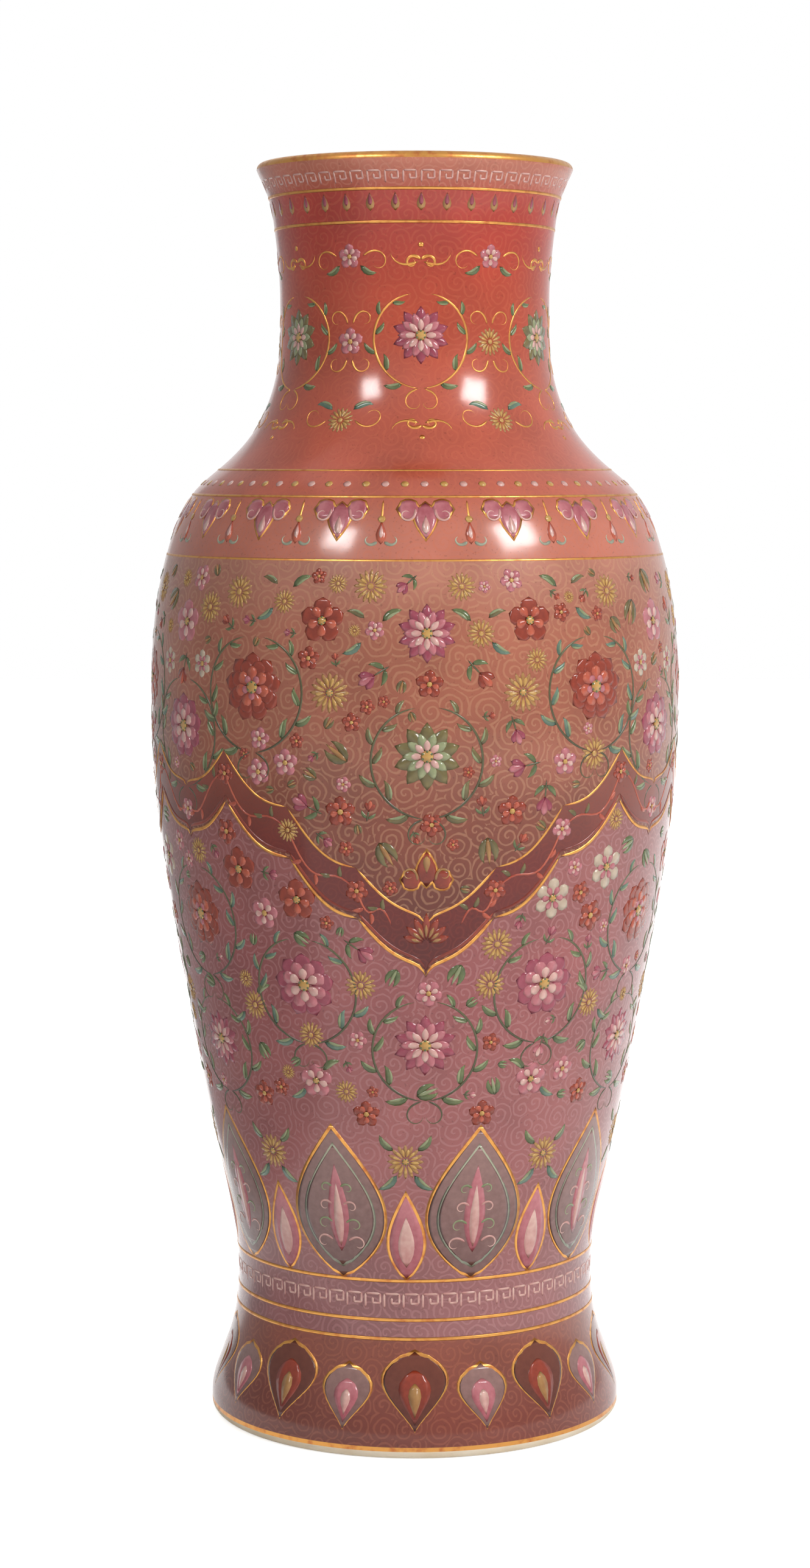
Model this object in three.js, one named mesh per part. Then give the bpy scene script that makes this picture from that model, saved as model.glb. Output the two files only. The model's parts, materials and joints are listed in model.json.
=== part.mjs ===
// A tall porcelain baluster vase, thrown in four sections that are luted together with slip.
// Millimetres, +Z up. The origin is at the centre of the circle that the foot ring stands on.
import * as THREE from "three";

// Driving dimensions
const HEIGHT = 450; // foot ring to the top of the lip
const BELLY_R = 94.7; // greatest outside radius
const NECK_R = 48; // outside radius at the narrowest part of the neck
const LIP_R = 56.2; // outside radius of the everted lip
const WAIST_R = 64.4; // outside radius of the narrow place above the foot
const FOOT_R = 74.4; // outside radius of the spread foot
const FOOT_WALL = 8; // wall above the foot ring, heavy because it carries the rest
const BODY_WALL = 6; // wall of the belly
const NECK_WALL = 5; // wall of the neck
const RING_OUTER_R = 71.5; // outer edge of the flat face that the vase stands on
const RING_INNER_R = 62.5; // inner edge of that face
const RECESS = 9; // depth of the hollow under the floor
const FLOOR = 9; // thickness of the floor
const FLOOR_CORNER = 6; // radius where the wall meets the floor inside
const LIP_ROUND = 2.4; // radius of the rounded lip
const SEAM = 1.2; // thickness of the slip between two sections
const BEVEL = 3; // bevel on the inner edge of each rim, which the slip fills
const BEAD = 1.4; // how far the slip stands in from the wall once it is smoothed
const SEGMENTS = 60; // facets round each turned piece

// Heights of the places that give the silhouette its character
const FOOT_Z = 6;
const WAIST_Z = 52;
const BELLY_Z = 257;
const SHOULDER_Z = 308;
const NECK_Z = 402;
const FLARE_Z = 430;
const LIP_Z = HEIGHT - LIP_ROUND;

// Heights of the joints, each at the middle of its slip
const WAIST_SEAM_Z = 56;
const BELLY_SEAM_Z = 236;
const NECK_SEAM_Z = 372;

// The outside as [height, radius, slope] stations. Slope is radius gained for each mm of height.
const OUTSIDE = [
  [FOOT_Z, FOOT_R, 0],
  [24, FOOT_R - 5.4, -0.36],
  [WAIST_Z, WAIST_R, 0],
  [95, WAIST_R + 6.8, 0.215],
  [167, BELLY_R - 9.9, 0.18],
  [BELLY_Z, BELLY_R, 0],
  [SHOULDER_Z, BELLY_R - 4.8, -0.25],
  [334, BELLY_R - 15.7, -0.75],
  [343.5, BELLY_R - 26.2, -1.15],
  [358, NECK_R + 8, -0.55],
  [382, NECK_R + 0.5, -0.1],
  [NECK_Z, NECK_R, 0],
  [FLARE_Z, NECK_R + 2.3, 0.13],
  [443, NECK_R + 6, 0.45],
  [LIP_Z, LIP_R, 0.3],
];

// Radius and slope of the outside at a height, by a cubic between the two stations around it.
function outsideAt(z) {
  const last = OUTSIDE.length - 1;
  const height = THREE.MathUtils.clamp(z, OUTSIDE[0][0], OUTSIDE[last][0]);
  const above = Math.max(1, OUTSIDE.findIndex((station) => station[0] >= height));
  const [z0, r0, slope0] = OUTSIDE[above - 1];
  const [z1, r1, slope1] = OUTSIDE[above];
  const span = z1 - z0;
  const rise = r1 - r0;
  const t = (height - z0) / span;
  const bulge0 = slope0 * span - rise;
  const bulge1 = rise - slope1 * span;
  const bulge = (1 - t) * bulge0 + t * bulge1;
  const radius = r0 + rise * t + t * (1 - t) * bulge;
  const slope = (rise + (1 - 2 * t) * bulge + t * (1 - t) * (bulge1 - bulge0)) / span;
  return { radius, slope };
}

// Wall thickness square to the surface: it thins steadily from the foot to the neck.
function wallAt(z) {
  const foot = 1 - THREE.MathUtils.smoothstep(z, WAIST_Z, BELLY_Z);
  const neck = THREE.MathUtils.smoothstep(z, BELLY_Z, NECK_Z);
  return BODY_WALL + foot * (FOOT_WALL - BODY_WALL) + neck * (NECK_WALL - BODY_WALL);
}

const outerR = (z) => outsideAt(z).radius;

function innerR(z) {
  const { radius, slope } = outsideAt(z);
  return radius - wallAt(z) * Math.hypot(1, slope);
}

// Even steps from one value to another, both ends among them.
function steps(from, to, count) {
  return Array.from({ length: count + 1 }, (_, i) => from + ((to - from) * i) / count);
}

// Points of the outer wall going up through the given heights, with a number of steps for each.
function outsideUp(from, ...stages) {
  const zs = [from];
  for (const [to, count] of stages) zs.push(...steps(zs.at(-1), to, count).slice(1));
  return zs.map((z) => [outerR(z), z]);
}

// Points of the inner wall coming down in the same way.
function insideDown(from, ...stages) {
  return outsideUp(from, ...stages).map(([, z]) => [innerR(z), z]);
}

// Part of a round in the half-section, between two angles in degrees.
function round(r, z, size, from, to, count) {
  return steps(from, to, count).map((degrees) => {
    const angle = THREE.MathUtils.degToRad(degrees);
    return [r + size * Math.cos(angle), z + size * Math.sin(angle)];
  });
}

// The rim that a section turns towards a joint: outer edge, start of the bevel, inner edge.
// Side is -1 for the section under the slip and 1 for the section above it.
function rim(seamZ, side) {
  const z = seamZ + (side * SEAM) / 2;
  const bevelEnd = z + side * BEVEL;
  return {
    outer: [outerR(z), z],
    bevel: [innerR(z) + BEVEL, z],
    inner: [innerR(bevelEnd), bevelEnd],
  };
}

// A turned piece from its half-section of [radius, height] points, listed counter-clockwise.
function turned(name, section, material) {
  const onAxis = section[0][0] === 0;
  const closed = onAxis ? section : [...section, section[0]];
  const points = closed.map(([r, z]) => new THREE.Vector2(r, z));
  const geometry = new THREE.LatheGeometry(points, SEGMENTS);
  geometry.rotateX(Math.PI / 2);
  const mesh = new THREE.Mesh(geometry, material);
  mesh.name = name;
  return mesh;
}

// Glazes and clays
const glaze = (color) => new THREE.MeshStandardMaterial({ color, roughness: 0.15, metalness: 0 });
const coralGlaze = glaze(0xb8614e);
const amberGlaze = glaze(0xa67161);
const roseGlaze = glaze(0x97706a);
const brickGlaze = glaze(0x8e5949);
const firedSlip = new THREE.MeshStandardMaterial({ color: 0xe6dfd0, roughness: 0.7, metalness: 0 });

// The foot: a rounded, spread ring, a floor above its recess, and the start of the wall.
function footSection() {
  const top = rim(WAIST_SEAM_Z, -1);
  const floorTop = RECESS + FLOOR;
  const cornerZ = floorTop + FLOOR_CORNER;
  const cornerR = innerR(cornerZ) - FLOOR_CORNER;
  const toe = FOOT_R - RING_OUTER_R;
  return turned("foot_section", [
    [0, RECESS],
    [RING_INNER_R - 3, RECESS],
    [RING_INNER_R - 1, RECESS - 2],
    [RING_INNER_R, 0],
    [RING_OUTER_R, 0],
    ...round(RING_OUTER_R, toe, toe, -60, 0, 2),
    ...outsideUp(FOOT_Z, [top.outer[1], 7]),
    top.bevel,
    ...insideDown(top.inner[1], [cornerZ, 3]),
    ...round(cornerR, cornerZ, FLOOR_CORNER, -30, -90, 2),
    [0, floorTop],
  ], brickGlaze);
}

function lowerBody() {
  const bottom = rim(WAIST_SEAM_Z, 1);
  const top = rim(BELLY_SEAM_Z, -1);
  return turned("lower_body", [
    ...outsideUp(bottom.outer[1], [top.outer[1], 10]),
    top.bevel,
    ...insideDown(top.inner[1], [bottom.inner[1], 5]),
    bottom.bevel,
  ], roseGlaze);
}

function upperBody() {
  const bottom = rim(BELLY_SEAM_Z, 1);
  const top = rim(NECK_SEAM_Z, -1);
  return turned("upper_body", [
    ...outsideUp(bottom.outer[1], [BELLY_Z, 1], [SHOULDER_Z, 3], [top.outer[1], 11]),
    top.bevel,
    ...insideDown(top.inner[1], [SHOULDER_Z, 8], [bottom.inner[1], 3]),
    bottom.bevel,
  ], amberGlaze);
}

// The neck: it flares to an everted lip that is rounded over and dips inside to the mouth.
function neckAndMouth() {
  const bottom = rim(NECK_SEAM_Z, 1);
  return turned("neck_and_mouth", [
    ...outsideUp(bottom.outer[1], [NECK_Z, 3], [FLARE_Z, 2], [LIP_Z, 4]),
    ...round(LIP_R - LIP_ROUND, LIP_Z, LIP_ROUND, 30, 90, 2),
    ...round(LIP_R - 2 * LIP_ROUND, LIP_Z, LIP_ROUND, 90, 150, 2),
    ...insideDown(LIP_Z - 2 * LIP_ROUND, [NECK_Z, 3], [bottom.inner[1], 3]),
    bottom.bevel,
  ], coralGlaze);
}

// The slip in a joint: wiped flush outside, filling the two bevels and smoothed to a bead inside.
function slipSeam(name, seamZ) {
  const below = rim(seamZ, -1);
  const above = rim(seamZ, 1);
  const bead = steps(0, 1, 4).slice(1, -1).map((share) => {
    const z = THREE.MathUtils.lerp(above.inner[1], below.inner[1], share);
    return [innerR(z) - BEAD * Math.sin(Math.PI * share), z];
  });
  return turned(name, [
    below.outer,
    above.outer,
    above.bevel,
    above.inner,
    ...bead,
    below.inner,
    below.bevel,
  ], firedSlip);
}

const vase = new THREE.Group();
vase.name = "baluster_vase";
vase.add(footSection(), lowerBody(), upperBody(), neckAndMouth());
vase.add(slipSeam("waist_slip_seam", WAIST_SEAM_Z));
vase.add(slipSeam("belly_slip_seam", BELLY_SEAM_Z));
vase.add(slipSeam("neck_slip_seam", NECK_SEAM_Z));

export default vase;
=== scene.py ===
# %% [markdown]
# # A baluster vase in enamelled porcelain
# Porcelain is thrown in sections, glazed, and fired white. The colours come last: enamel is ground
# glass, painted over the glaze and fired again, so every stroke of it stands a little proud.
# The measured solids are loaded first, because the main sizes below are read from them.

# %% Load the frame
import json
import math

import bmesh
import bpy
import numpy as np
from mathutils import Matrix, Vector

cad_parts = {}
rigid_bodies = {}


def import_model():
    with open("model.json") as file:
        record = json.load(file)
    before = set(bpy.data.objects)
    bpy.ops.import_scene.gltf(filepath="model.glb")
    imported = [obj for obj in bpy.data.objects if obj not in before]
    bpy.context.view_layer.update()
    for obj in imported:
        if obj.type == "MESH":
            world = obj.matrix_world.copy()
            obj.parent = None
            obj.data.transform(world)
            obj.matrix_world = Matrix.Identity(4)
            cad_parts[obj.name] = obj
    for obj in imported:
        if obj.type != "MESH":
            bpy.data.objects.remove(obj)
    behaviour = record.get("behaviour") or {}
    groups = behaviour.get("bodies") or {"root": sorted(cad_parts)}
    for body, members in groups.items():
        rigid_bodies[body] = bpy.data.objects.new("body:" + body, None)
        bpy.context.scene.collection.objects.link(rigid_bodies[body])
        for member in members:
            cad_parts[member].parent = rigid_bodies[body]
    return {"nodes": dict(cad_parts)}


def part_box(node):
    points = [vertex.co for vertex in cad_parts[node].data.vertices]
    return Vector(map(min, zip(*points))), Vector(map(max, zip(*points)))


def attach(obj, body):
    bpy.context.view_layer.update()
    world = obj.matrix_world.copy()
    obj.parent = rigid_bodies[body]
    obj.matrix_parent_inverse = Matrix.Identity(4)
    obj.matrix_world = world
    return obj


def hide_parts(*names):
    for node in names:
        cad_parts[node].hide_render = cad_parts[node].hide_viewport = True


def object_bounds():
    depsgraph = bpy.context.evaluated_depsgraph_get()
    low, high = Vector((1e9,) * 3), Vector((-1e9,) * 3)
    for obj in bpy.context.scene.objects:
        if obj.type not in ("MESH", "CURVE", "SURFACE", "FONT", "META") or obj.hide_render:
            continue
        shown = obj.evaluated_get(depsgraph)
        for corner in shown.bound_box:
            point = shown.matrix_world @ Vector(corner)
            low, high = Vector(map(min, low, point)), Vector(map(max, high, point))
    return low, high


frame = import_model()
cad_low, cad_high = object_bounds()
print("solids:", ", ".join(sorted(frame["nodes"])))

# %% [markdown]
# ## Sizes
# A potter checks a tall vase against a few widths: foot, waist, belly, neck and lip. The same few
# sizes drive this script. Those that a solid's box can give are read from the frame, so that the
# glazed skin and the solids can't drift apart. Everything is in millimetres until a point is placed.

# %% Driving sizes
MM = 0.001
TURN = 2 * math.pi


def top_of(node):
    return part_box(node)[1] / MM


def middle_height(node):
    low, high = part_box(node)
    return (low.z + high.z) / 2 / MM


HEIGHT = top_of("neck_and_mouth").z
LIP_R = top_of("neck_and_mouth").x
BELLY_R = top_of("upper_body").x
FOOT_R = top_of("foot_section").x
WAIST_R = 64.4
NECK_R = 48.0
SEAMS = [middle_height(name) for name in ("waist_slip_seam", "belly_slip_seam", "neck_slip_seam")]

FOOT_Z, WAIST_Z, BELLY_Z, SHOULDER_Z, NECK_Z, FLARE_Z = 6.0, 52.0, 257.0, 308.0, 402.0, 430.0
LIP_ROUND = 2.4
LIP_Z = HEIGHT - LIP_ROUND
FOOT_WALL, BODY_WALL, NECK_WALL = 8.0, 6.0, 5.0
RING_OUTER_R, RING_INNER_R, RING_EASE = 71.5, 62.5, 0.6
RECESS, FLOOR_TOP, FLOOR_CORNER = 9.0, 18.0, 6.0
BEAD_HEIGHT, BEAD = 7.2, 1.4
print(f"height {HEIGHT:.1f}, belly {2 * BELLY_R:.1f}, foot {2 * FOOT_R:.1f}, lip {2 * LIP_R:.1f} mm")

# %% [markdown]
# ## The profile
# The outside is one smooth curve through a few heights where its character changes. Each station
# gives a height, a radius and a slope, and a cubic joins it to the next. A curve of this kind is
# smoother than the solids' facets, and goes through the same stations.

# %% Outer and inner wall
STATIONS = np.array([
    (FOOT_Z, FOOT_R, 0),
    (24, FOOT_R - 5.4, -0.36),
    (WAIST_Z, WAIST_R, 0),
    (95, WAIST_R + 6.8, 0.215),
    (167, BELLY_R - 9.9, 0.18),
    (BELLY_Z, BELLY_R, 0),
    (SHOULDER_Z, BELLY_R - 4.8, -0.25),
    (334, BELLY_R - 15.7, -0.75),
    (343.5, BELLY_R - 26.2, -1.15),
    (358, NECK_R + 8, -0.55),
    (382, NECK_R + 0.5, -0.1),
    (NECK_Z, NECK_R, 0),
    (FLARE_Z, NECK_R + 2.3, 0.13),
    (443, NECK_R + 6, 0.45),
    (LIP_Z, LIP_R, 0.3),
])


def outside(z):
    """Radius and slope of the outer wall at heights z."""
    z = np.clip(np.asarray(z, float), STATIONS[0, 0], STATIONS[-1, 0])
    lower = np.clip(np.searchsorted(STATIONS[:, 0], z) - 1, 0, len(STATIONS) - 2)
    z0, r0, slope0 = np.moveaxis(STATIONS[lower], -1, 0)
    z1, r1, slope1 = np.moveaxis(STATIONS[lower + 1], -1, 0)
    span, rise = z1 - z0, r1 - r0
    t = (z - z0) / span
    bulge0, bulge1 = slope0 * span - rise, rise - slope1 * span
    bulge = (1 - t) * bulge0 + t * bulge1
    radius = r0 + rise * t + t * (1 - t) * bulge
    slope = (rise + (1 - 2 * t) * bulge + t * (1 - t) * (bulge1 - bulge0)) / span
    return radius, slope


def smooth(z, low, high):
    t = np.clip((z - low) / (high - low), 0, 1)
    return t * t * (3 - 2 * t)


def inside(z):
    """Radius of the inner wall at heights z, with the slip bead that stands in at each joint."""
    radius, slope = outside(z)
    foot = 1 - smooth(z, WAIST_Z, BELLY_Z)
    neck = smooth(z, BELLY_Z, NECK_Z)
    wall = BODY_WALL + foot * (FOOT_WALL - BODY_WALL) + neck * (NECK_WALL - BODY_WALL)
    bead = sum(np.cos(np.clip((z - seam) / BEAD_HEIGHT, -0.5, 0.5) * math.pi) for seam in SEAMS)
    return radius - wall * np.hypot(1, slope) - BEAD * bead


solid_points = np.array([
    v.co / MM for node in frame["nodes"].values() for v in node.data.vertices if abs(v.co.y) < 1e-6
])
on_outside = solid_points[(solid_points[:, 2] >= FOOT_Z) & (solid_points[:, 2] <= LIP_Z)]
gap = np.abs(np.abs(on_outside[:, 0]) - outside(on_outside[:, 2])[0])
print(f"outer points of the solids lie within {gap[gap < 1].max():.4f} mm of the curve")

# %% [markdown]
# ## A place on the wall
# Painted ornament follows the clay, so a motif is drawn flat and then laid on the wall. Its x runs
# round the vase and its y runs up the wall itself, not straight up, which keeps a flower round on
# the steep shoulder. The distance along the wall comes from adding up short steps of the profile.

# %% Distance along the wall
fine_z = np.linspace(FOOT_Z, LIP_Z, 3000)
fine_r = outside(fine_z)[0]
fine_length = np.concatenate([[0], np.cumsum(np.hypot(np.diff(fine_z), np.diff(fine_r)))])


def along(z):
    return np.interp(z, fine_z, fine_length)


def height_at(length):
    return np.interp(length, fine_length, fine_z)


def on_wall(angle, length, lift):
    """Points in metres, from the angle round from the front, the distance up the wall and the lift."""
    z = height_at(length)
    radius, slope = outside(z)
    tilt = np.hypot(1, slope)
    out = radius + lift / tilt
    up = z - lift * slope / tilt
    return np.stack([out * np.sin(angle), -out * np.cos(angle), up], axis=-1) * MM


class Spot:
    """Where a motif is painted: its middle, its size and turn, and what it is painted over."""

    def __init__(self, degrees, height, size=1.0, turn=0.0, flip=False, ground=0.0):
        self.angle, self.length = math.radians(degrees), float(along(height))
        self.side, self.size, self.ground = -1 if flip else 1, size, ground
        self.cos, self.sin = math.cos(math.radians(turn)), math.sin(math.radians(turn))

    def wall(self, x, y):
        """Flat x and y in millimetres as an angle and a distance along the wall."""
        across = self.side * self.size * (self.cos * x - self.sin * y)
        length = self.length + self.size * (self.sin * x + self.cos * y)
        return self.angle + across / outside(height_at(length))[0], length


print(f"the wall is {fine_length[-1]:.0f} mm long from foot to lip")

# %% [markdown]
# ## Camera
# The photograph looks slightly down, from under the height of the lip. The distance and height were
# worked out from how far the foot and the lip are seen as ovals, and the axis from both outlines.

# %% Camera
PHOTO_WIDTH, PHOTO_HEIGHT = 1330, 2576
AXIS_X, MIDDLE_Y = 681, 1304
FOCAL_PIXELS = 5474
SENSOR = 36.0


def new_object(name, data):
    """A new object in the scene."""
    made = bpy.data.objects.new(name, data)
    bpy.context.scene.collection.objects.link(made)
    return made


camera_data = bpy.data.cameras.new("camera")
camera_data.sensor_width = SENSOR
camera_data.lens = FOCAL_PIXELS / PHOTO_HEIGHT * SENSOR
camera_data.shift_x = (PHOTO_WIDTH / 2 - AXIS_X) / PHOTO_HEIGHT
camera_data.shift_y = (MIDDLE_Y - PHOTO_HEIGHT / 2) / PHOTO_HEIGHT
camera = new_object("camera", camera_data)
CAMERA_DISTANCE, CAMERA_HEIGHT = 2.67 * HEIGHT * MM, 0.77 * HEIGHT * MM
camera.location = (0, -CAMERA_DISTANCE, CAMERA_HEIGHT)
pitch = math.atan2(CAMERA_HEIGHT - HEIGHT * MM / 2, CAMERA_DISTANCE)
camera.rotation_euler = (math.pi / 2 - pitch, 0, 0)
bpy.context.scene.camera = camera
print(f"lens {camera_data.lens:.1f} mm, looking {math.degrees(pitch):.1f} degrees down")

# %% [markdown]
# ## Colours and nodes
# Colours are written as they look on a screen, and one function turns them into the linear values
# that a shader works in. Another adds a node with its settings and links.

# %% Colour and node helpers


def linear(hex_colour):
    channels = [int(hex_colour[i:i + 2], 16) / 255 for i in (1, 3, 5)]
    straight = [c / 12.92 if c <= 0.04045 else ((c + 0.055) / 1.055) ** 2.4 for c in channels]
    return (*straight, 1.0)


def feed(node, inputs):
    """Links an input to the node or socket given for it, and sets any other value on it.

    A pair given for From or To goes to its Min and its Max.
    """
    for name, value in inputs.items():
        if name in ("From", "To"):
            feed(node, {f"{name} Min": value[0], f"{name} Max": value[1]})
            continue
        if isinstance(value, bpy.types.Node):
            value = next(output for output in value.outputs if output.enabled)
        if isinstance(value, bpy.types.NodeSocket):
            node.id_data.links.new(value, node.inputs[name])
        else:
            node.inputs[name].default_value = linear(value) if isinstance(value, str) else value


def add(tree, kind, inputs=None, **settings):
    """A new shader node of this kind, with its settings and links."""
    made = tree.nodes.new(f"ShaderNode{kind}")
    for name, value in settings.items():
        setattr(made, name, value)
    feed(made, inputs or {})
    return made


def surface(name, **inputs):
    """A new material and its shader, to which a recipe adds the rest."""
    material = bpy.data.materials.new(name)
    material.use_nodes = True
    tree = material.node_tree
    shader = tree.nodes["Principled BSDF"]
    for socket, value in inputs.items():
        shader.inputs[socket.replace("_", " ")].default_value = value
    coords = add(tree, "TexCoord").outputs["Object"]
    return material, tree, shader, coords


def per_mm(size):
    """The scale of a pattern in metres whose features are this many millimetres across."""
    return 1 / (size * MM)


# %% [markdown]
# ## Enamel
# Enamel is lead glass coloured with metal oxides. It pools as it melts, so a colour is deeper where
# it lies thick and paler where the brush lifts. The fired surface is glossy, with slow waves that
# bend a reflection. The noise is in the object's own space, so it has no seam. Each stroke carries
# two values: load, which runs along it, and crown, which is 0 at its rim and 1 along its middle.

# %% Enamel strokes
GLASS_IOR = 1.43


def glassy_waves(tree, shader, coords, size, depth):
    """Slow waves in the fired glass, this many millimetres across."""
    waves = add(tree, "TexNoise", {"Vector": coords, "Scale": per_mm(size), "Detail": 2.0})
    bump = add(tree, "Bump", {"Height": waves, "Strength": depth, "Distance": 0.12 * MM})
    feed(shader, {"Normal": bump})


def stroke_enamel(name, deep, pale, outline):
    """Enamel laid in strokes: deep where the brush sets down, pale at the lift, and outlined."""
    material, tree, shader, coords = surface(name, Roughness=0.18, IOR=GLASS_IOR)
    load = add(tree, "Attribute", attribute_name="load").outputs["Fac"]
    crown = add(tree, "Attribute", attribute_name="crown").outputs["Fac"]
    pools = add(tree, "TexNoise", {"Vector": coords, "Scale": per_mm(2.2), "Detail": 3.0})
    pools = add(tree, "MapRange", {"Value": pools, "From": (0.3, 0.7), "To": (-0.22, 0.22)})
    share = add(tree, "Math", {0: load, 1: pools}, operation="ADD", use_clamp=True)
    tone = add(tree, "Mix", {"Factor": share, "A": deep, "B": pale}, data_type="RGBA")
    rim = add(tree, "MapRange", {"Value": crown, "From": (0.05, 0.35), "To": (0.6, 0.0)})
    tone = add(tree, "Mix", {"Factor": rim, "A": tone, "B": outline}, data_type="RGBA")
    feed(shader, {"Base Color": tone})
    glassy_waves(tree, shader, coords, 2.5, 0.35)
    return material


# %% [markdown]
# ## Scratched grounds
# A ground is one even coat of enamel. Before it is fired, the painter scratches it through with fine
# feathered scrolls, so the paler glaze shows. Here each scroll is a spiral round the middle of a
# Voronoi cell: the angle and distance from the middle are added, and the sum repeats as lines.

# %% Grounds with scratched scrolls


def scrolls(tree, coords, cell, pitch, strength):
    """How far each point lies in a scratched line, for scrolls of this size and line spacing in mm."""
    middles = add(tree, "TexVoronoi", {"Vector": coords, "Scale": per_mm(cell), "Randomness": 0.75})
    middle = middles.outputs["Position"]
    offset = add(tree, "VectorMath", {0: coords, 1: middle}, operation="SUBTRACT")
    round_way = add(tree, "VectorMath", {0: (0, 0, 1), 1: coords}, operation="CROSS_PRODUCT")
    round_way = add(tree, "VectorMath", {0: round_way}, operation="NORMALIZE")
    across = add(tree, "VectorMath", {0: offset, 1: round_way}, operation="DOT_PRODUCT")
    up = add(tree, "SeparateXYZ", {0: offset}).outputs["Z"]
    flat = add(tree, "CombineXYZ", {0: across, 1: up})
    distance = add(tree, "VectorMath", {0: flat}, operation="LENGTH")
    angle = add(tree, "Math", {0: up, 1: across}, operation="ARCTAN2")
    wobble = add(tree, "TexNoise", {"Vector": coords, "Scale": per_mm(3.0), "Detail": 1.0})
    wobble = add(tree, "MapRange", {"Value": wobble, "From": (0.3, 0.7), "To": (-0.13, 0.13)})
    turns = add(tree, "Math", {0: angle, 1: 1 / TURN, 2: wobble}, operation="MULTIPLY_ADD")
    phase = add(tree, "Math", {0: distance, 1: per_mm(pitch), 2: turns}, operation="MULTIPLY_ADD")
    wave = add(tree, "Math", {0: phase, 1: 0.5}, operation="PINGPONG")
    return add(tree, "MapRange", {"Value": wave, "From": (0.09, 0.2), "To": (strength, 0.0)})


def washed(tree, coords, tones):
    """A wash that changes with height. Tones are heights in mm and their colours, lowest first."""
    height = add(tree, "SeparateXYZ", {0: coords}).outputs["Z"]
    (low, tone), *rest = tones.items()
    for high, colour in rest:
        share = add(tree, "MapRange", {
            "Value": height, "From": (low * MM, high * MM),
        }, interpolation_type="SMOOTHSTEP")
        tone = add(tree, "Mix", {"Factor": share, "A": tone, "B": colour}, data_type="RGBA")
        low = high
    return tone


def ground_enamel(name, tones, line, cell=9.0, pitch=2.4, strength=0.5):
    """An even coat, a little cloudy as enamel fires, scratched through with scrolls and specked."""
    material, tree, shader, coords = surface(name, Roughness=0.16, IOR=GLASS_IOR)
    clouds = add(tree, "TexNoise", {"Vector": coords, "Scale": per_mm(26), "Detail": 4.0})
    specks = add(tree, "TexNoise", {"Vector": coords, "Scale": per_mm(0.9), "Detail": 1.0})
    clouds = add(tree, "MapRange", {"Value": clouds, "From": (0.3, 0.7), "To": (0.84, 1.16)})
    specks = add(tree, "MapRange", {"Value": specks, "From": (0.66, 0.74), "To": (1.0, 0.75)})
    shade = add(tree, "Math", {0: clouds, 1: specks}, operation="MULTIPLY")
    tone = add(tree, "Mix", {
        "Factor": 1.0, "A": washed(tree, coords, tones), "B": shade,
    }, data_type="RGBA", blend_type="MULTIPLY")
    lines = scrolls(tree, coords, cell, pitch, strength)
    tone = add(tree, "Mix", {"Factor": lines, "A": tone, "B": line}, data_type="RGBA")
    feed(shader, {"Base Color": tone})
    glassy_waves(tree, shader, coords, 7.0, 0.3)
    return material


# %% [markdown]
# ## Glaze, bare clay and gold
# Clear glaze is thick and faintly blue over white clay. The foot ring is wiped bare, because glaze
# would weld it to the kiln shelf, and it burns a little orange. Gold is laid over red and burnished,
# and handling thins it until the red shows.

# %% Other finishes


def clear_glaze(name, pooled, thin):
    material, tree, shader, coords = surface(name, Roughness=0.12, IOR=1.5)
    thickness = add(tree, "TexNoise", {"Vector": coords, "Scale": per_mm(30), "Detail": 3.0})
    tone = add(tree, "Mix", {"Factor": thickness, "A": pooled, "B": thin}, data_type="RGBA")
    feed(shader, {"Base Color": tone})
    glassy_waves(tree, shader, coords, 12.0, 0.4)
    return material


def biscuit(name, burnt, clay):
    material, tree, shader, coords = surface(name, Roughness=0.78)
    flashing = add(tree, "TexNoise", {"Vector": coords, "Scale": per_mm(14), "Detail": 3.0})
    grain = add(tree, "TexNoise", {"Vector": coords, "Scale": per_mm(0.8), "Detail": 4.0})
    tone = add(tree, "Mix", {"Factor": flashing, "A": burnt, "B": clay}, data_type="RGBA")
    bump = add(tree, "Bump", {"Height": grain, "Strength": 0.5, "Distance": 0.1 * MM})
    feed(shader, {"Base Color": tone, "Normal": bump})
    return material


def gilding(name, burnished, worn):
    material, tree, shader, coords = surface(name, Metallic=1.0)
    wear = add(tree, "TexNoise", {"Vector": coords, "Scale": per_mm(3), "Detail": 6.0})
    bare = add(tree, "MapRange", {"Value": wear, "From": (0.48, 0.7), "To": (0.0, 0.7)})
    tone = add(tree, "Mix", {"Factor": bare, "A": burnished, "B": worn}, data_type="RGBA")
    rough = add(tree, "MapRange", {"Value": bare, "To": (0.32, 0.52)})
    feed(shader, {"Base Color": tone, "Roughness": rough})
    glassy_waves(tree, shader, coords, 1.6, 0.6)
    return material


# %% The grounds from lip to foot, and the rest
lip_ground = ground_enamel(
    "lip_enamel", {436: "#a84a35", 448: "#b46a55"}, "#c98a70", cell=6, pitch=1.9, strength=0.3,
)
coral_ground = ground_enamel("coral_enamel", {
    320: "#b46a57", 345: "#b04f38", 370: "#ac503c", 392: "#ae452d", 430: "#a63427",
}, "#c66845", cell=8, pitch=2.1, strength=0.2)
amber_ground = ground_enamel("amber_enamel", {
    195: "#622717", 225: "#773723", 250: "#91523e", 285: "#a05e49", 312: "#a96e5c",
}, "#c08f6c", pitch=2.3, strength=0.32)
maroon_ground = ground_enamel("maroon_enamel", {
    175: "#560a02", 208: "#641306", 240: "#803b2a",
}, "#862c18", cell=6, pitch=1.9, strength=0.2)
rose_ground = ground_enamel("rose_enamel", {
    45: "#8a5757", 125: "#945554", 165: "#8f4d4d", 205: "#8b4e4c",
}, "#b98482", cell=8, pitch=2.2, strength=0.32)
brick_ground = ground_enamel(
    "brick_enamel", {12: "#723529", 40: "#834739"}, "#ab654a", cell=8, pitch=2.1, strength=0.26,
)
white_glaze = clear_glaze("white_glaze", "#dfe6e4", "#f1efe8")
bare_clay = biscuit("bare_foot_clay", "#cdb897", "#e9e2d3")
gold = gilding("burnished_gilding", "#c08a4a", "#9c5434")
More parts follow.
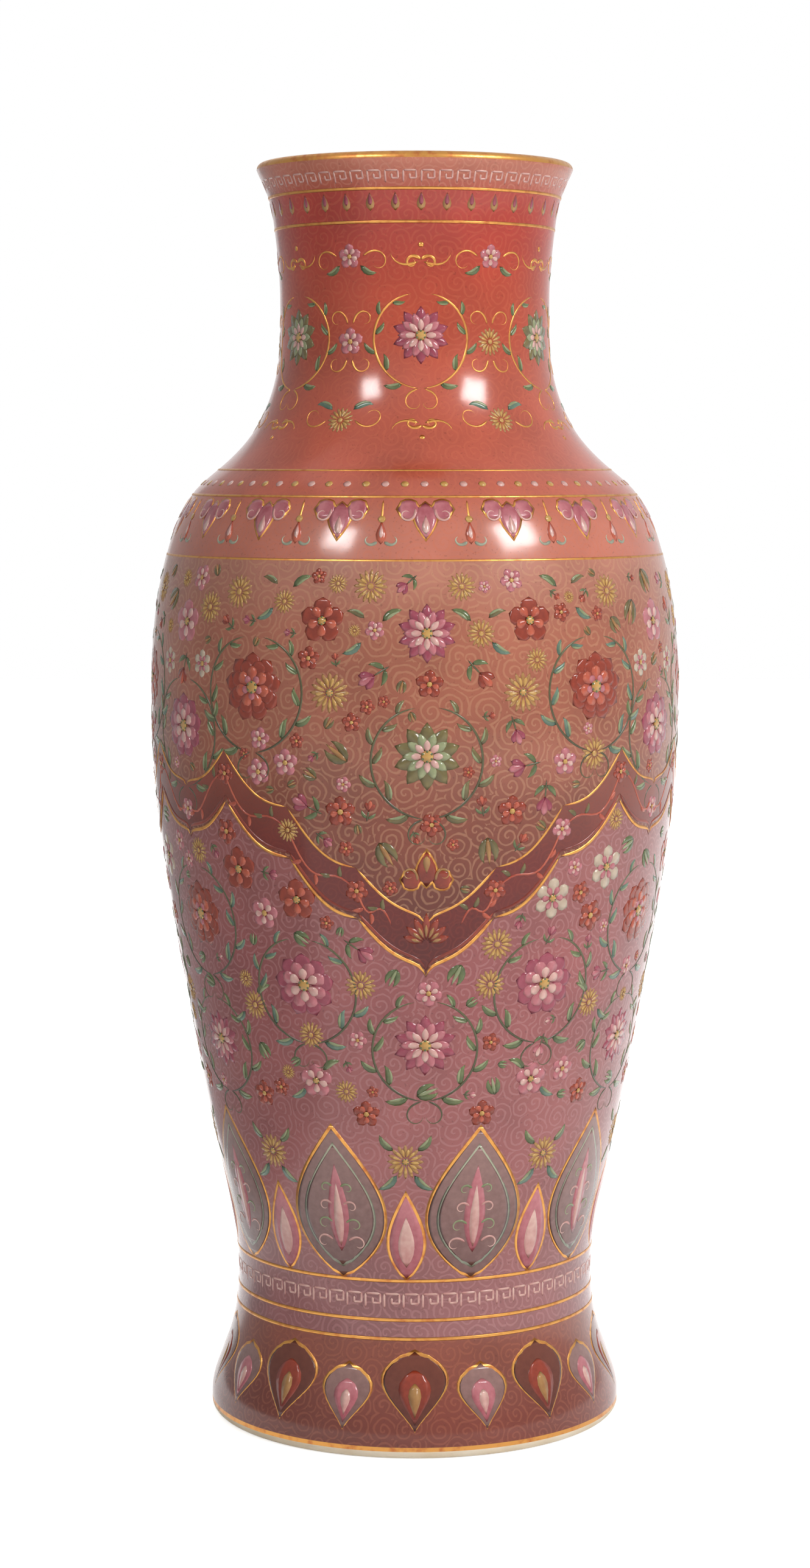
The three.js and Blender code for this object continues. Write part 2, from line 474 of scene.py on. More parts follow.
print(len(bpy.data.materials), "grounds, glazes and metals")

# %% [markdown]
# ## The glazed skin
# After firing, the luted sections are one wall under one glaze, so a single skin stands for all of
# the solids. Its half-section is turned round the axis with the spin operator, as on a wheel. Faces
# take their finish from where they lie: bare clay under the foot, clear glaze inside, and enamel
# grounds outside, in bands whose heights come from the photograph.

# %% Turn the skin
AROUND, OUTER_ROWS, INNER_ROWS = 256, 205, 110
LIP_BAND_Z, COLLAR_TOP_Z, FOOT_BAND_Z = 438.0, 312.0, 40.0
GILT_FOOT_Z, BARE_FOOT_Z = 4.4, 2.9


def arc(r, z, size, start, stop, count):
    angles = np.radians(np.linspace(start, stop, count))
    return [(r + size * math.cos(a), z + size * math.sin(a)) for a in angles]


def half_section():
    """(radius, height) points from the middle of the recess, round the outside and back inside."""
    toe = FOOT_R - RING_OUTER_R
    outer_z = np.unique(np.concatenate([
        np.linspace(FOOT_Z, LIP_Z, OUTER_ROWS), [LIP_BAND_Z, COLLAR_TOP_Z, FOOT_BAND_Z, BELLY_Z],
    ]))
    corner_z = FLOOR_TOP + FLOOR_CORNER
    corner_r = float(inside(corner_z)) - FLOOR_CORNER
    inner_z = np.linspace(LIP_Z - 2 * LIP_ROUND, corner_z, INNER_ROWS)
    lip_r = LIP_R - LIP_ROUND
    return [
        *[(r, RECESS) for r in (0, 20, 42, RING_INNER_R - 5)],
        *[(RING_INNER_R - into, RECESS - below) for into, below in ((3, 0.3), (1.2, 1.8), (0.6, 4))],
        (RING_INNER_R, RING_EASE), (RING_INNER_R + RING_EASE, 0), (RING_OUTER_R - RING_EASE, 0),
        *arc(RING_OUTER_R, toe, toe, -80, 0, 7), (FOOT_R, GILT_FOOT_Z),
        *[(r, z) for z, r in zip(outer_z, outside(outer_z)[0])],
        *arc(lip_r, LIP_Z, LIP_ROUND, 18, 90, 6),
        *arc(lip_r - LIP_ROUND, LIP_Z, LIP_ROUND, 90, 165, 6),
        *[(r, z) for z, r in zip(inner_z, inside(inner_z))],
        *arc(corner_r, corner_z, FLOOR_CORNER, -18, -90, 5),
        (corner_r * 0.6, FLOOR_TOP), (corner_r * 0.3, FLOOR_TOP), (0, FLOOR_TOP),
    ]


def turned(profile, closed=False):
    """A bmesh of a half-section spun once round the axis, its seam and poles welded."""
    bm = bmesh.new()
    verts = [bm.verts.new((0, -r * MM, z * MM)) for r, z in profile]
    edges = [bm.edges.new(ends) for ends in zip(verts, verts[1:])]
    if closed:
        edges.append(bm.edges.new((verts[-1], verts[0])))
    bmesh.ops.spin(bm, geom=verts + edges, cent=(0, 0, 0), axis=(0, 0, 1), angle=TURN,
                   steps=AROUND, use_merge=True)
    bmesh.ops.remove_doubles(bm, verts=bm.verts, dist=1e-7)
    bmesh.ops.recalc_face_normals(bm, faces=bm.faces)
    return bm


def mesh_from(name, bm):
    """Turns a bmesh into a mesh and frees it."""
    mesh = bpy.data.meshes.new(name)
    bm.to_mesh(mesh)
    bm.free()
    return mesh


def finished(name, bm, materials, sharp_degrees=40):
    """Makes the mesh an object that rides on the vase, smooth except at its sharp edges."""
    for face in bm.faces:
        face.smooth = True
    for edge in bm.edges:
        edge.smooth = edge.calc_face_angle(0) < math.radians(sharp_degrees)
    mesh = mesh_from(name, bm)
    for material in materials:
        mesh.materials.append(material)
    piece = new_object(name, mesh)
    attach(piece, "root")
    return piece


SKIN_FINISHES = [coral_ground, rose_ground, brick_ground, lip_ground, white_glaze, bare_clay, gold]


def finish_of(face):
    """Which finish a face of the skin takes, from its height and how far out it lies."""
    centre = face.calc_center_median() / MM
    r, z = math.hypot(centre.x, centre.y), centre.z
    if z < 0.5 or (z < BARE_FOOT_Z and r > RING_OUTER_R - 1):
        return bare_clay
    if r < outside(z)[0] - 2 or z < FOOT_Z and r < RING_OUTER_R:
        return gold if z > LIP_Z else white_glaze
    if z < GILT_FOOT_Z or z > LIP_Z - 1:
        return gold
    if z < FOOT_BAND_Z:
        return brick_ground
    if z < COLLAR_TOP_Z:
        return rose_ground
    return coral_ground if z < LIP_BAND_Z else lip_ground


skin = turned(half_section())
for face in skin.faces:
    face.material_index = SKIN_FINISHES.index(finish_of(face))
body = finished("glazed_body", skin, SKIN_FINISHES)
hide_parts(*frame["nodes"])
print("glazed body:", len(body.data.polygons), "faces")

# %% [markdown]
# ## The collar grounds
# A broad collar of pointed, lobed lappets lies over the shoulder, three long and three short. Its
# ground is a separate coat of enamel, so it is a thin closed sheet a little proud of the glaze, and
# a second, darker coat borders its edge. A grid gives a sheet its rows and columns, and one function
# says where the edge runs.

# %% Collar sheets
SECTORS = 3
FRONT = 2.5
SECTOR_DEGREES = 360 / SECTORS
CUSPS = np.array([(0.0, 171.0), (15.0, 191.0), (30.0, 211.0), (46.0, 229.0), (60.0, 215.0)])
LOBE, POINT = 5.0, 0.6
COAT = 0.12
BORDER_COAT = 1.6 * COAT
BORDER_START, BORDER = 2.0, 18.0
COLUMNS = 360


def collar_edge(degrees):
    """Height of the collar's lower edge: pointed at each lappet's tip, with round lobes between."""
    from_tip = np.abs((np.asarray(degrees, float) - FRONT + 60) % SECTOR_DEGREES - 60)
    angles, heights = CUSPS.T
    lower = np.clip(np.searchsorted(angles, from_tip, side="right") - 1, 0, len(angles) - 2)
    share = (from_tip - angles[lower]) / (angles[lower + 1] - angles[lower])
    start, end = heights[lower], heights[lower + 1]
    path = np.select([lower == 0, lower == len(angles) - 2], [
        start + (end - start) * share ** POINT, end + (start - end) * (1 - share) ** POINT,
    ], start + (end - start) * share)
    return path - LOBE * np.sin(math.pi * share)


def collar_top(degrees):
    return COLLAR_TOP_Z


def border_bottom(degrees):
    return collar_edge(degrees) + BORDER_START


def border_top(degrees):
    return collar_edge(degrees) + BORDER


def sheet_between(lower, upper, lift, rows):
    """A closed thin sheet right round the wall, between two edges given as heights at an angle."""
    bm = bmesh.new()
    bmesh.ops.create_grid(bm, x_segments=COLUMNS, y_segments=rows, size=0.5)
    for v in bm.verts:
        degrees = (v.co.x + 0.5) * 360 + FRONT
        low, high = along(lower(degrees)), along(upper(degrees))
        v.co = on_wall(math.radians(degrees), low + (high - low) * (v.co.y + 0.5), lift)
    bmesh.ops.remove_doubles(bm, verts=bm.verts, dist=1e-6)
    bmesh.ops.recalc_face_normals(bm, faces=bm.faces)
    bmesh.ops.solidify(bm, geom=bm.faces, thickness=2 * COAT * MM)
    bmesh.ops.recalc_face_normals(bm, faces=bm.faces)
    return bm


collar_sheet = sheet_between(collar_edge, collar_top, COAT, rows=60)
border_sheet = sheet_between(border_bottom, border_top, BORDER_COAT, rows=10)
collar = finished("collar_ground", collar_sheet, [amber_ground])
border = finished("collar_border", border_sheet, [maroon_ground])
for coat in (collar, border):
    print(coat.name, len(coat.data.polygons), "faces")

# %% [markdown]
# ## Brush strokes
# Everything else is painted stroke by stroke, so a stroke is the one shape that all motifs share. A
# sphere's two poles become the stroke's ends, and its rings are moved along the stroke's line, wide
# where the brush is pressed. The result is a closed lens of glass with its underside in the glaze.
# The sphere is made once for each fineness, and its points are moved again for each stroke.

# %% The outlines of a stroke


def leaf_shape(t):
    return np.sin(math.pi * t ** 0.8)


def round_petal(t):
    return np.sin(math.pi * t ** 1.5) ** 0.8


def pointed_petal(t):
    return np.sin(math.pi * t ** 1.2) * (1.15 - 0.3 * t)


def line_shape(t):
    return np.minimum(1, 6 * np.minimum(t, 1 - t)) ** 0.5


def comma_shape(t):
    return np.minimum(1, 8 * t) ** 0.5 * (1 - t) ** 0.7


def dot_shape(t):
    return np.sqrt(np.clip(4 * t * (1 - t), 0, 1))


# %% Paint a stroke
SUNK = 0.1
ROW_LENGTH, ROW_BEND = 2.2, 0.25
FEWEST_ROWS, MOST_ROWS = 5, 28
POINTS_ROUND = {6: 6, 14: 10, math.inf: 16}
lenses, strokes = {}, {}


def lens(rows, across):
    """A sphere's mesh, with the row, and the direction round it, of each of its points."""
    if (rows, across) not in lenses:
        bm = bmesh.new()
        bmesh.ops.create_uvsphere(bm, u_segments=across, v_segments=rows, radius=1)
        load, crown = bm.verts.layers.float.new("load"), bm.verts.layers.float.new("crown")
        for v in bm.verts:
            v[load] = math.acos(max(-1, min(1, v.co.z))) / math.pi
            ring = max(1e-6, math.hypot(v.co.x, v.co.y))
            v[crown] = max(0, v.co.y / ring) if 0.01 < v[load] < 0.99 else 0
            v.co = (v.co.x / ring, v.co.y / ring, v[load])
        mesh = mesh_from("lens", bm)
        side, up, load = np.array([v.co for v in mesh.vertices]).T
        lenses[rows, across] = mesh, np.round(load * rows).astype(int), side, up
    return lenses[rows, across]


def stroke(colour, spot, line, width, shape=leaf_shape, relief=0.16, over=0.0):
    """Paints one stroke along a flat line, as wide as width at its widest, in millimetres.

    It gets a row of points for each ROW_LENGTH mm or ROW_BEND radians of its line, and more points
    round it where it is wide.
    """
    line = np.asarray(line, float)
    steps = np.hypot(*np.diff(line, axis=0).T)
    turning = np.abs(np.diff(np.unwrap(np.arctan2(*np.diff(line, axis=0).T[::-1])))).sum()
    rows = max(steps.sum() * spot.size / ROW_LENGTH, turning / ROW_BEND)
    rows = int(np.clip(rows, FEWEST_ROWS, MOST_ROWS))
    across = next(points for limit, points in POINTS_ROUND.items() if width * spot.size < limit)
    mesh, row, side, up = lens(rows, across)
    t = np.linspace(0, 1, rows + 1)
    share = np.concatenate([[0], np.cumsum(steps)]) / steps.sum()
    x, y = np.interp(t, share, line[:, 0]), np.interp(t, share, line[:, 1])
    heading = np.arctan2(np.gradient(y, t), np.gradient(x, t))
    half = width / 2 * np.maximum(shape(t), 0)
    crown = relief * np.sqrt(half / half.max())
    flat_x = x[row] - np.sin(heading[row]) * half[row] * side
    flat_y = y[row] + np.cos(heading[row]) * half[row] * side
    lift = spot.ground + over + np.where(up > 0, crown[row] * up, (SUNK + over) * up)
    angle, distance = spot.wall(flat_x, flat_y)
    mesh.vertices.foreach_set("co", on_wall(angle, distance, lift).ravel())
    strokes.setdefault(colour, bmesh.new()).from_mesh(mesh)


def faces_painted():
    return sum(len(bm.faces) for bm in strokes.values())


# %% [markdown]
# ## Lines to paint along
# A painter's lines are few: a curl that winds up like a fern, a ray out from the middle of a flower,
# and a stem that circles round it. Dots, mirrored curls and upright layers are built on them.

# %% Spirals, curls and rays


def spiral(start, sweep, outer, inner, count=36):
    """A flat line round the middle, from one radius to another. Start and sweep are in degrees."""
    share = np.linspace(0, 1, count)
    angles, radius = np.radians(start + sweep * share), outer + (inner - outer) * share
    return np.stack([radius * np.cos(angles), radius * np.sin(angles)], axis=1)


def curl(x, y, heading, length, turns, count=24):
    """A flat line that winds up tighter and tighter. Heading is in degrees."""
    share = np.linspace(0, 1, count)
    angles = math.radians(heading) + TURN * turns * share ** 1.6
    step = length / (count - 1)
    xs = x + np.concatenate([[0], np.cumsum(np.cos(angles[:-1]) * step)])
    ys = y + np.concatenate([[0], np.cumsum(np.sin(angles[:-1]) * step)])
    return np.stack([xs, ys], axis=1)


def ray(degrees, inner, outer):
    """A straight flat line outwards from the middle, from one radius to another."""
    c, s = math.cos(math.radians(degrees)), math.sin(math.radians(degrees))
    return [(inner * c, inner * s), (outer * c, outer * s)]


# %% Dots, pairs and layers


def dot(colour, spot, radius, x=0.0, y=0.0, relief=0.16, over=0.0):
    stroke(colour, spot, [(x - radius, y), (x + radius, y)], 2 * radius, dot_shape, relief, over)


def pair(colour, spot, x, y, lean, length, turns, width, shape=leaf_shape, relief=0.16, over=0.0):
    """Two curls that mirror each other. They set out this many degrees away from upright."""
    for side in (-1, 1):
        line = curl(side * x, y, 90 - side * lean, length, side * turns)
        stroke(colour, spot, line, width, shape, relief, over)


def layers(spot, shape, *coats):
    """Upright strokes, each over the last: a colour, bottom, top, width, relief and lift."""
    for colour, bottom, top, width, relief, over in coats:
        stroke(colour, spot, [(0, bottom), (0, top)], width, shape, relief, over)


# %% [markdown]
# ## Flowers and leaves
# The flowers are general ones of the lotus scroll that is common on such wares: rows of petals, each
# row shorter and paler than the one under it, round a seed head. A row is a colour, a count, and an
# inner radius, an outer radius and a width as shares of the flower's own radius. Every motif also
# claims its place, so that small filling can find the gaps.

# %% Flowers
FLOWERS = {
    "lotus": (pointed_petal, ("ruby", 10, 0.2, 1.0, 0.46), ("rose", 10, 0.15, 0.8, 0.36),
              ("blush", 8, 0.1, 0.58, 0.26)),
    "pale_lotus": (pointed_petal, ("olive", 10, 0.2, 1.0, 0.5), ("pale_green", 10, 0.15, 0.72, 0.32),
                   ("blush", 8, 0.1, 0.5, 0.24)),
    "peony": (round_petal, ("iron_red", 9, 0.2, 1.0, 0.62), ("iron_red", 8, 0.15, 0.82, 0.52),
              ("coral", 7, 0.1, 0.62, 0.4), ("rose", 5, 0.05, 0.38, 0.26)),
    "rose_peony": (round_petal, ("ruby", 9, 0.2, 1.0, 0.62), ("rose", 8, 0.15, 0.78, 0.48),
                   ("blush", 6, 0.1, 0.54, 0.34)),
    "aster": (round_petal, ("ochre", 16, 0.25, 1.0, 0.24), ("yellow", 13, 0.2, 0.76, 0.2)),
    "plum": (round_petal, ("rose", 5, 0.1, 1.0, 0.86), ("blush", 5, 0.1, 0.7, 0.44)),
    "pale_plum": (round_petal, ("cream", 6, 0.1, 1.0, 0.7), ("rose", 6, 0.1, 0.6, 0.34)),
    "coral_plum": (round_petal, ("iron_red", 5, 0.1, 1.0, 0.86), ("coral", 5, 0.1, 0.7, 0.46)),
}
ROW_LIFT = 0.06
claimed, blooms = [], []


def claim(spot, x, y, radius, places=claimed):
    angle, length = spot.wall(x, y)
    places.append((float(angle), float(length), radius * spot.size))


def is_free(taken, angle, length, radius):
    """Whether a round place touches none of those taken, given as rows of angles, lengths and radii."""
    around = (taken[0] - angle + math.pi) % TURN - math.pi
    apart = np.hypot(around * np.interp(length, fine_length, fine_r), taken[1] - length)
    return bool((apart > taken[2] + radius).all())


def flower(kind, spot, radius):
    shape, *rows = FLOWERS[kind]
    for level, (colour, count, inner, outer, width) in enumerate(rows):
        for i in range(count):
            line = ray(90 + 360 * (i + 0.5 * level) / count, inner * radius, outer * radius)
            stroke(colour, spot, line, width * radius, shape, relief=0.1, over=ROW_LIFT * level)
    heart, top = 0.2 * radius, ROW_LIFT * len(rows)
    dot("yellow", spot, heart, over=top)
    for i in range(6 if radius > 6 else 0):
        seed = ray(90 + 60 * i, 0.55 * heart, 0.95 * heart)
        stroke("leaf_green", spot, seed, 0.4 * heart, dot_shape, relief=0.08, over=top + 0.1)
    claim(spot, 0, 0, radius)
    claim(spot, 0, 0, radius, blooms)


def scatter(tip, flowers, **place):
    """Flowers on both sides of a tip: a kind, degrees away from it, a height and a radius."""
    for side in (-1, 1):
        for kind, degrees, height, radius in flowers:
            flower(kind, Spot(tip + side * degrees, height, **place), radius)


# %% Leaves, sprays and wreaths


def leaf(spot, x, y, heading, length, turns=0.15, colour="leaf_green"):
    """A leaf with one half in light, as it is shaded in enamels. None is painted over a flower."""
    line = curl(x, y, heading, length, turns)
    middle = line[len(line) // 2]
    if not is_free(np.array(blooms).T, *spot.wall(*middle), 0.25 * length):
        return
    width = 0.36 * length
    stroke(colour, spot, line, width, relief=0.12)
    aside = np.array([-math.sin(math.radians(heading)), math.cos(math.radians(heading))])
    stroke("pale_green", spot, line[2:-3] + 0.25 * width * aside, 0.4 * width, relief=0.08, over=0.1)
    claim(spot, *middle, 0.4 * length)


def two_leaves(spot):
    leaf(spot, -3, 4, 130, 8)
    leaf(spot, 4, -3, -50, 8, colour="blue_green")


def spray(spot, stem, leaves, length, colour, stalk):
    """A stem with leaves on alternate sides, which grow shorter towards its end."""
    stroke(stalk, spot, stem, 0.9, line_shape, relief=0.12)
    for i in range(leaves):
        at = int((i + 0.8) / (leaves + 0.6) * (len(stem) - 2))
        x, y = stem[at]
        heading = math.degrees(math.atan2(stem[at + 1][1] - y, stem[at + 1][0] - x))
        side = 1 if i % 2 else -1
        leaf(spot, x, y, heading + side * 50, length * (1 - 0.35 * i / leaves), -side * 0.14, colour)


def wreathed(kind, degrees, height, radius, leaves=7, length=8.5, colour="leaf_green",
             stalk="stem_green", **place):
    """A flower between two stems that rise from under it and circle it, as in a lotus scroll."""
    flower(kind, Spot(degrees, height, **place), radius)
    for flip in (False, True):
        spot = Spot(degrees, height, flip=flip, **place)
        spray(spot, spiral(-88, 165, 1.85 * radius, 1.45 * radius), leaves, length, colour, stalk)
        tendril = curl(0.1 * radius, -1.85 * radius, -20, 1.5 * radius, -0.75)
        stroke(stalk, spot, tendril, 0.9, comma_shape)


# %% [markdown]
# ## Clouds, ruyi heads and rings
# Clouds of paired curls and the lobed head of the ruyi sceptre are the small change of Chinese
# ornament. Plain lines were run on with the vase turning on a wheel, so they are spun.

# %% Small ornament


def cloud(spot, size):
    """A small gilt cloud of paired curls with trailing tails."""
    pair("gold", spot, 0, 0.1 * size, 55, 1.5 * size, -1.1, 0.2 * size, comma_shape)
    pair("gold", spot, 0.1 * size, 0, 110, 1.5 * size, 0.3, 0.17 * size, comma_shape)
    dot("gold", spot, 0.13 * size, y=0.72 * size)
    claim(spot, 0, 0, 0.8 * size)


def ruyi(spot, size, colour, heart):
    """A pointed lobe between two round ones, edged in gold, with a curl in each round one."""
    for tone, edge, over in (("gold", 0.0, 0.0), (colour, 0.7, 0.05)):
        for x in (-0.4 * size, 0.4 * size):
            dot(tone, spot, 0.32 * size - edge, x, 0.24 * size, 0.12, over)
        top, width = 1.08 * size - 1.4 * edge, 0.66 * size - 2 * edge
        layers(spot, leaf_shape, (tone, edge, top, width, 0.12, over))
    pair(heart, spot, 0.24 * size, 0.22 * size, 0, 0.9 * size, -0.95, 0.09 * size, comma_shape, 0.08, 0.16)
    layers(spot, round_petal, (heart, 0.4 * size, 0.9 * size, 0.22 * size, 0.08, 0.16))
    claim(spot, 0, 0.4 * size, 0.7 * size)


def rings(colour, *heights, width=1.2, relief=0.14):
    """Plain lines right round the vase, each spun from a small lens."""
    for height in heights:
        middle = float(along(height))
        corners = [(-0.5, 0.0), (-0.25, relief), (0.25, relief), (0.5, 0.0), (0.0, -0.15)]
        places = [on_wall(0.0, middle + width * across, lift) / MM for across, lift in corners]
        ring = turned([(-place[1], place[2]) for place in places], closed=True)
        strokes.setdefault(colour, bmesh.new()).from_mesh(mesh_from("ring", ring))


def round_the_vase(count, start=FRONT):
    return [start + 360 * i / count for i in range(count)]


# %% [markdown]
# ## Lip and neck
# The lip has a gilt edge and a pale band with a key fret, the plainest of the traditional borders.
# The neck is coral, with lotus at mid height, and gilt clouds above and below.

# %% Paint the lip
KEY = [(0, 0), (0, 4.2), (4.4, 4.2), (4.4, 1.4), (2.2, 1.4), (2.2, 2.8)]


def key_fret(height, count, size):
    """A row of square keys, each leg its own stroke."""
    for degrees in round_the_vase(count):
        spot = Spot(degrees, height, size)
        for a, b in zip(KEY, KEY[1:]):
            reach = np.array(b, float) - np.array(a, float)
            nudge = 0.3 * reach / np.hypot(*reach)
            stroke("blush", spot, [a - nudge, b + nudge], 0.75, line_shape, relief=0.1)


rings("gold", 437.6, 426.5, width=1.1)
key_fret(439.6, 54, 1.0)
for degrees in round_the_vase(36):
    drop = Spot(degrees, 436.4, turn=180)
    layers(drop, round_petal, ("ochre", 0, 6.4, 3.6, 0.1, 0), ("ruby", 0.2, 4.6, 1.9, 0.1, 0.08))

# %% Paint the neck
HIGH_Z, MIDDLE_Z, LOW_Z = 415, 386, 359
for i, degrees in enumerate(round_the_vase(6)):
    between = degrees + 30
    wreathed("lotus" if i % 2 == 0 else "pale_lotus", degrees, 388, 10, 6, 7, stalk="gold")
    cloud(Spot(degrees, 413), 8)
    cloud(Spot(degrees, 358, turn=180), 8)
    flower("plum", Spot(between, HIGH_Z), 4.5)
    flower("aster", Spot(between, LOW_Z), 5)
    flower("plum" if i % 2 else "aster", Spot(between, MIDDLE_Z), 5)
    for flip in (False, True):
        high, middle, low = [Spot(between, z, flip=flip) for z in (HIGH_Z, MIDDLE_Z, LOW_Z)]
        for spot, line in (
            (high, curl(5, 0, 35, 17, -0.8)), (low, curl(5.5, 0, -40, 19, 0.85)),
            (middle, curl(1, 6, 75, 14, -0.8)), (middle, curl(1, -6, -75, 14, 0.8)),
        ):
            stroke("gold", spot, line, 1.0, comma_shape)
        leaf(high, 4, -3, -50, 7, 0.2)
        leaf(low, 4, 4, 40, 8, -0.2, "blue_green")
print("neck painted:", faces_painted(), "faces")

# %% Paint the shoulder's ruyi heads
RUYI_Z = 331.8
rings("gold", 333.2, 342.0, COLLAR_TOP_Z, width=1.0)
for i, degrees in enumerate(round_the_vase(72)):
    dot("yellow" if i % 2 else "blush", Spot(degrees, 337.4), 1.5)
for degrees in round_the_vase(18):
    ruyi(Spot(degrees, RUYI_Z, turn=180), 14, "rose", "blush")
    tassel = Spot(degrees + 10, RUYI_Z, turn=180)
    layers(tassel, line_shape, ("gold", -0.5, 8, 0.8, 0.16, 0))
    dot("yellow", tassel, 1.4, y=7, over=0.08)
    layers(tassel, round_petal, ("coral", 7.5, 16, 4.2, 0.16, 0), ("blush", 9, 14, 1.8, 0.16, 0.1))
    pair("celadon", tassel, 1.2, 15, 50, 7, -0.6, 1.5, comma_shape)

# %% [markdown]
# ## The collar's border
# The lappets are edged in gilt. Inside the edge, a dark border carries a vine that sways from one
# small blossom to the next, and a palmette fills the point of each long lappet.

# %% Paint the collar's border
VINE = [7.5, *CUSPS[1:, 0]]
VINE_INSET, SWAY = 10, 3.2
EDGE_POINTS = 18


def edge_stroke(colour, start, stop, inset, width, over=BORDER_COAT, sway=0.0):
    """A stroke along part of the collar's edge, drawn flat about that part's middle."""
    degrees = np.linspace(start, stop, EDGE_POINTS)
    heights = collar_edge(degrees) + inset + sway * np.sin(np.linspace(0, TURN, EDGE_POINTS))
    middle = Spot((start + stop) / 2, float(heights.mean()), ground=over)
    flat = np.stack([
        np.radians(degrees - (start + stop) / 2) * outside(heights)[0], along(heights) - middle.length,
    ], axis=1)
    stroke(colour, middle, flat, width, line_shape, relief=0.12)


for tip in round_the_vase(SECTORS):
    for a, b in zip(CUSPS[:-1, 0], CUSPS[1:, 0]):
        for side in (-1, 1):
            edge_stroke("gold", tip + side * a, tip + side * b, 0.6, 1.3, COAT)
            edge_stroke("iron_red", tip + side * a, tip + side * b, 2.6, 1.4)
            edge_stroke("gold", tip + side * a, tip + side * b, BORDER, 0.9)

for tip in round_the_vase(SECTORS):
    for side in (-1, 1):
        raised = {"turn": side * 30, "ground": BORDER_COAT}
        for i, (a, b) in enumerate(zip(VINE, VINE[1:])):
            edge_stroke("coral", tip + side * a, tip + side * b, VINE_INSET, 0.8, sway=SWAY)
            for share, heading in ((0.22, 100), (0.36, 20), (0.62, -80), (0.8, 0)):
                degrees = tip + side * (a + share * (b - a))
                middle = collar_edge(degrees) + VINE_INSET + SWAY * math.sin(TURN * share)
                spot = Spot(degrees, middle, flip=side < 0, **raised)
                stroke("olive" if share < 0.5 else "coral", spot, curl(0, 0, heading, 4.5, 0.15), 1.9)
            if b < 60 or side > 0:
                degrees = tip + side * b
                kind = ("coral_plum", "plum" if side > 0 else "aster")[i % 2]
                flower(kind, Spot(degrees, collar_edge(degrees) + VINE_INSET, **raised), 4.2)
    palm = Spot(tip, 183, ground=BORDER_COAT)
    for k in range(-3, 4):
        stroke("iron_red", palm, ray(90 + 24 * k, 1, 11 - 0.9 * abs(k)), 3.2, pointed_petal)
        stroke("ochre", palm, ray(90 + 24 * k, 2, 7 - 0.5 * abs(k)), 1.3, pointed_petal, over=0.12)

# %% [markdown]
# ## The collar's flowers
# Each long lappet holds a pale lotus with a ruyi head under it, between red peonies that stand high
# on its flanks. Each short one has a smaller group of its own. The large flowers are wreathed in
# stems, as in the lotus scroll.

# %% Paint the collar
COLLAR_FLOWERS = [
    ("aster", 20, 268, 7), ("coral_plum", 18, 228, 5.5), ("coral_plum", 22, 292, 8), ("aster", 43, 301, 6),
    ("plum", 30, 244, 5), ("pale_plum", 53, 276, 5),
]
on_collar = {"ground": COAT}
for tip in round_the_vase(SECTORS):
    ruyi(Spot(tip, 202, **on_collar), 13, "iron_red", "ochre")
    flower("lotus", Spot(tip, 288, **on_collar), 10)
    flower("plum", Spot(tip + 60, 290, **on_collar), 8)
    scatter(tip, COLLAR_FLOWERS, **on_collar)
    wreathed("pale_lotus", tip, 247, 11.5, colour="olive", **on_collar)
    wreathed("rose_peony", tip + 60, 254, 11.5, **on_collar)
    for side, colour in ((-1, "leaf_green"), (1, "blue_green")):
        wreathed("peony", tip + side * 38, 269, 12, 8, colour=colour, **on_collar)
        for x, height in ((11, 288), (22, 292), (31, 299)):
            spot = Spot(tip + side * x, height, flip=side < 0, **on_collar)
            two_leaves(spot)
            leaf(spot, 3, 5, 40, 7, -0.15, "olive")
print("collar painted:", faces_painted(), "faces so far")

# %% [markdown]
# ## The lotus scroll on rose
# Under the collar, a scroll of large flowers and leaves covers the rose ground. One half-sector is
# drawn and mirrored, and the three sectors repeat round the vase.

# %% Paint the lotus scroll
SCROLL_FLOWERS = [
    ("aster", 15, 168, 5.5), ("aster", 44, 158, 5.5), ("plum", 28, 133, 6.5), ("coral_plum", 15, 122, 5),
    ("coral_plum", 45, 126, 5),
]
for tip in round_the_vase(SECTORS):
    scatter(tip, SCROLL_FLOWERS)
    for x, height, radius in ((44, 206, 8), (29, 197, 7.5)):
        flower("coral_plum", Spot(tip - x, height), radius)
        flower("pale_plum", Spot(tip + x, height), radius)
    wreathed("lotus", tip, 147, 11)
    wreathed("peony", tip + 60, 188, 12, colour="blue_green")
    wreathed("lotus", tip + 60, 143, 10.5)
    for side, colour in ((-1, "blue_green"), (1, "leaf_green")):
        wreathed("rose_peony", tip + side * 29, 167, 11.5, colour=colour)
        for x, height in ((29, 197), (44, 206), (45, 158), (28, 133)):
            two_leaves(Spot(tip + side * x, height, flip=side < 0))
print("scroll painted:", faces_painted(), "faces so far")

# %% [markdown]
# ## Filling the gaps
# A painter leaves no bare ground between the main flowers. Small blossoms, buds and curls go wherever
# there is room, largest first. Places are tried at random, from a fixed seed so that each run paints
# the same vase, and one is kept if it touches nothing that was claimed before.

# %% Fill with small blossoms
rng = np.random.default_rng(11)
TRIES = 1500
SCROLL_BOTTOM_Z = 122.0


def bud(spot, radius, colours):
    """A half-open bud on a short stem with two leaves."""
    stroke("stem_green", spot, [(0, -radius), (0, 0)], 0.7, line_shape, relief=0.1)
    pair("leaf_green", spot, 0, -0.7 * radius, 65, 0.95 * radius, 0.15, 0.34 * radius)
    for x in (-0.42 * radius, 0.42 * radius):
        stroke(colours[0], spot, [(0, -0.1 * radius), (x, 0.7 * radius)], 0.5 * radius, round_petal)
    layers(spot, round_petal, (colours[1], 0, 0.95 * radius, 0.46 * radius, 0.16, 0.1))
    claim(spot, 0, 0, radius)


